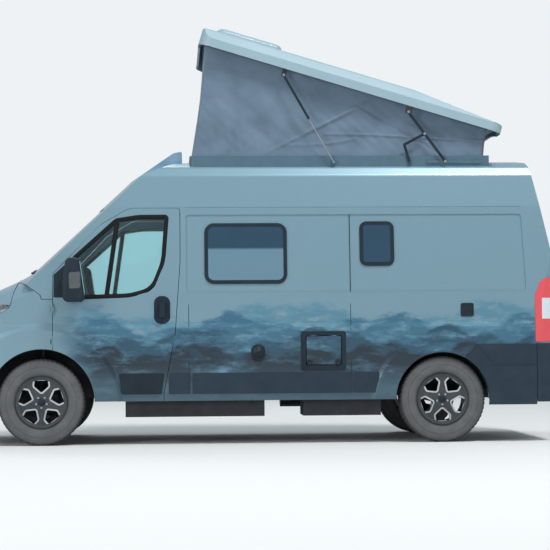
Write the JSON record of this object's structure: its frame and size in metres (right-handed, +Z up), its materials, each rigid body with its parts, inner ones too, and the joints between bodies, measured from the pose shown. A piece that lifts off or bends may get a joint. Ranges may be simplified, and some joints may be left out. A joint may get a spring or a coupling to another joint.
{
  "type": "camper van",
  "caption": "High-roof camper van with a pop-up sleeping roof held open on a cloth tent, hinged doors, bonnet and service hatch, and steered front wheels.",
  "frame": {"origin": "middle of the overall length and width, on the ground under the tyres", "axes": "+X towards the tail, +Y towards the right-hand side of the vehicle, +Z up"},
  "size_m": [5.413, 2.508, 3.7103],
  "materials": {
    "body_paint": "satin metallic paint",
    "black_plastic": "grained black moulding",
    "glass": "tinted glass",
    "acrylic": "dark tinted acrylic",
    "lamp_clear": "clear lens",
    "lamp_red": "red lens",
    "tyre": "road tyre",
    "rim": "machined faces on dark grey",
    "steel": "bare steel",
    "iron": "painted black iron",
    "tent_cloth": "woven tent cloth",
    "roof_plastic": "painted shell",
    "floor_paint": "under-seal",
    "cabinet": "laminated board",
    "upholstery": "woven upholstery",
    "interior_plastic": "soft grained plastic"
  },
  "bodies": {
    "body": {"cab_frame": "body_paint", "front_wings": "body_paint", "front_bulkhead": "black_plastic", "front_bumper": "body_paint", "side_left": "body_paint", "side_right": "body_paint", "sliding_door": "body_paint", "roof_panel": "body_paint", "windscreen": "glass", "cab_skylight_pane": "acrylic", "window_panes": "acrylic", "grille": "black_plastic", "window_frames": "black_plastic", "rear_bumper": "black_plastic", "side_mouldings": "black_plastic", "cab_skylight": "body_paint", "service_fittings": "black_plastic", "headlamps": "lamp_clear", "tail_lamps": "lamp_red", "floor_pan": "floor_paint", "front_subframe": "iron", "rear_axle": "iron", "underfloor_units": "interior_plastic", "engine_block": "iron", "roof_base_frame": "black_plastic", "tent_fabric": "tent_cloth", "dashboard": "interior_plastic", "seat_bases": "interior_plastic", "cab_seats": "upholstery", "camper_furniture": "cabinet", "cushions": "upholstery"},
    "roof": {"pop_roof_shell": "roof_plastic", "roof_vent": "roof_plastic"},
    "cab_door_l": {"cab_door_left": "body_paint", "cab_door_glass_left": "glass", "cab_door_trim_left": "black_plastic"},
    "cab_door_r": {"cab_door_right": "body_paint", "cab_door_glass_right": "glass", "cab_door_trim_right": "black_plastic"},
    "rear_door_l": {"rear_door_left": "body_paint", "rear_door_glass_left": "glass"},
    "rear_door_r": {"rear_door_right": "body_paint", "rear_door_glass_right": "glass"},
    "bonnet": {"bonnet": "body_paint"},
    "hatch": {"hatch_lid": "body_paint"},
    "steer_l": {"knuckle_left": "iron"},
    "steer_r": {"knuckle_right": "iron"},
    "strut_tube": {"strut_tubes": "black_plastic"},
    "strut_rod": {"strut_rods": "steel"},
    "lift_arm": {"lift_arms": "black_plastic"},
    "knee_link": {"knee_links": "black_plastic"},
    "foot_link": {"foot_links": "black_plastic"},
    "wheel_front_left": {"tyre_front_left": "tyre", "rim_front_left": "rim"},
    "wheel_front_right": {"tyre_front_right": "tyre", "rim_front_right": "rim"},
    "wheel_rear_left": {"tyre_rear_left": "tyre", "rim_rear_left": "rim"},
    "wheel_rear_right": {"tyre_rear_right": "tyre", "rim_rear_right": "rim"}
  },
  "joints": [
    {"name": "pop_roof", "type": "hinge", "parent": "body", "child": "roof", "pos_m": [3.02, 0, 2.585], "axis": [0, -1, 0], "range_deg": [0, 16.66], "deforming": ["tent_fabric"]},
    {"name": "strut_swing", "type": "hinge", "parent": "roof", "child": "strut_tube", "pos_m": [0.3459, 0, 3.20465], "axis": [0, -1, 0], "range_deg": [0, 47.03]},
    {"name": "strut_slide", "type": "slide", "parent": "strut_tube", "child": "strut_rod", "axis": [-0.4928, 0, 0.8701], "range_m": [0, 0.3795]},
    {"name": "lift_arm_swing", "type": "hinge", "parent": "roof", "child": "lift_arm", "pos_m": [1.4391, 0, 2.8796], "axis": [0, -1, 0], "range_deg": [0, 40.15]},
    {"name": "knee_link_swing", "type": "hinge", "parent": "lift_arm", "child": "knee_link", "pos_m": [1.58071, 0, 2.68882], "axis": [0, -1, 0], "range_deg": [-84.68, 0]},
    {"name": "foot_link_swing", "type": "hinge", "parent": "body", "child": "foot_link", "pos_m": [1.448, 0, 2.436], "axis": [0, -1, 0], "range_deg": [0, 73]},
    {"name": "cab_door_left", "type": "hinge", "parent": "body", "child": "cab_door_l", "pos_m": [-1.6635, -1.0335, 1], "axis": [0, 0, -1], "range_deg": [0, 70]},
    {"name": "cab_door_right", "type": "hinge", "parent": "body", "child": "cab_door_r", "pos_m": [-1.6635, 1.0335, 1], "axis": [0, 0, 1], "range_deg": [0, 70]},
    {"name": "rear_door_left", "type": "hinge", "parent": "body", "child": "rear_door_l", "pos_m": [2.696, -0.788, 1.4], "axis": [0, 0, -1], "range_deg": [0, 96]},
    {"name": "rear_door_right", "type": "hinge", "parent": "body", "child": "rear_door_r", "pos_m": [2.696, 0.788, 1.4], "axis": [0, 0, 1], "range_deg": [0, 96]},
    {"name": "bonnet", "type": "hinge", "parent": "body", "child": "bonnet", "pos_m": [-1.966, 0, 1.434], "axis": [0, 1, 0], "range_deg": [0, 50]},
    {"name": "service_hatch", "type": "hinge", "parent": "body", "child": "hatch", "pos_m": [0.6635, -1.029, 0.9255], "axis": [-1, 0, 0], "range_deg": [0, 95]},
    {"name": "steer_left", "type": "hinge", "parent": "body", "child": "steer_l", "pos_m": [-1.7585, -0.83, 0.371], "axis": [0, 0, 1], "range_deg": [-33, 33]},
    {"name": "steer_right", "type": "hinge", "parent": "body", "child": "steer_r", "pos_m": [-1.7585, 0.83, 0.371], "axis": [0, 0, 1], "range_deg": [-33, 33]},
    {"name": "wheel_front_left", "type": "hinge", "parent": "steer_l", "child": "wheel_front_left", "pos_m": [-1.7585, -0.905, 0.371], "axis": [0, -1, 0], "continuous": true},
    {"name": "wheel_front_right", "type": "hinge", "parent": "steer_r", "child": "wheel_front_right", "pos_m": [-1.7585, 0.905, 0.371], "axis": [0, -1, 0], "continuous": true},
    {"name": "wheel_rear_left", "type": "hinge", "parent": "body", "child": "wheel_rear_left", "pos_m": [1.6915, -0.895, 0.371], "axis": [0, -1, 0], "continuous": true},
    {"name": "wheel_rear_right", "type": "hinge", "parent": "body", "child": "wheel_rear_right", "pos_m": [1.6915, 0.895, 0.371], "axis": [0, -1, 0], "continuous": true}
  ],
  "couplings": [
    {"joint": "strut_swing", "follows": "pop_roof", "ratio": 2.8228},
    {"joint": "strut_slide", "follows": "pop_roof", "m_per_rad": 1.3052},
    {"joint": "lift_arm_swing", "follows": "pop_roof", "ratio": 2.41},
    {"joint": "knee_link_swing", "follows": "pop_roof", "ratio": -5.0825},
    {"joint": "foot_link_swing", "follows": "pop_roof", "ratio": 4.3818},
    {"joint": "steer_right", "follows": "steer_left", "ratio": 1}
  ]
}
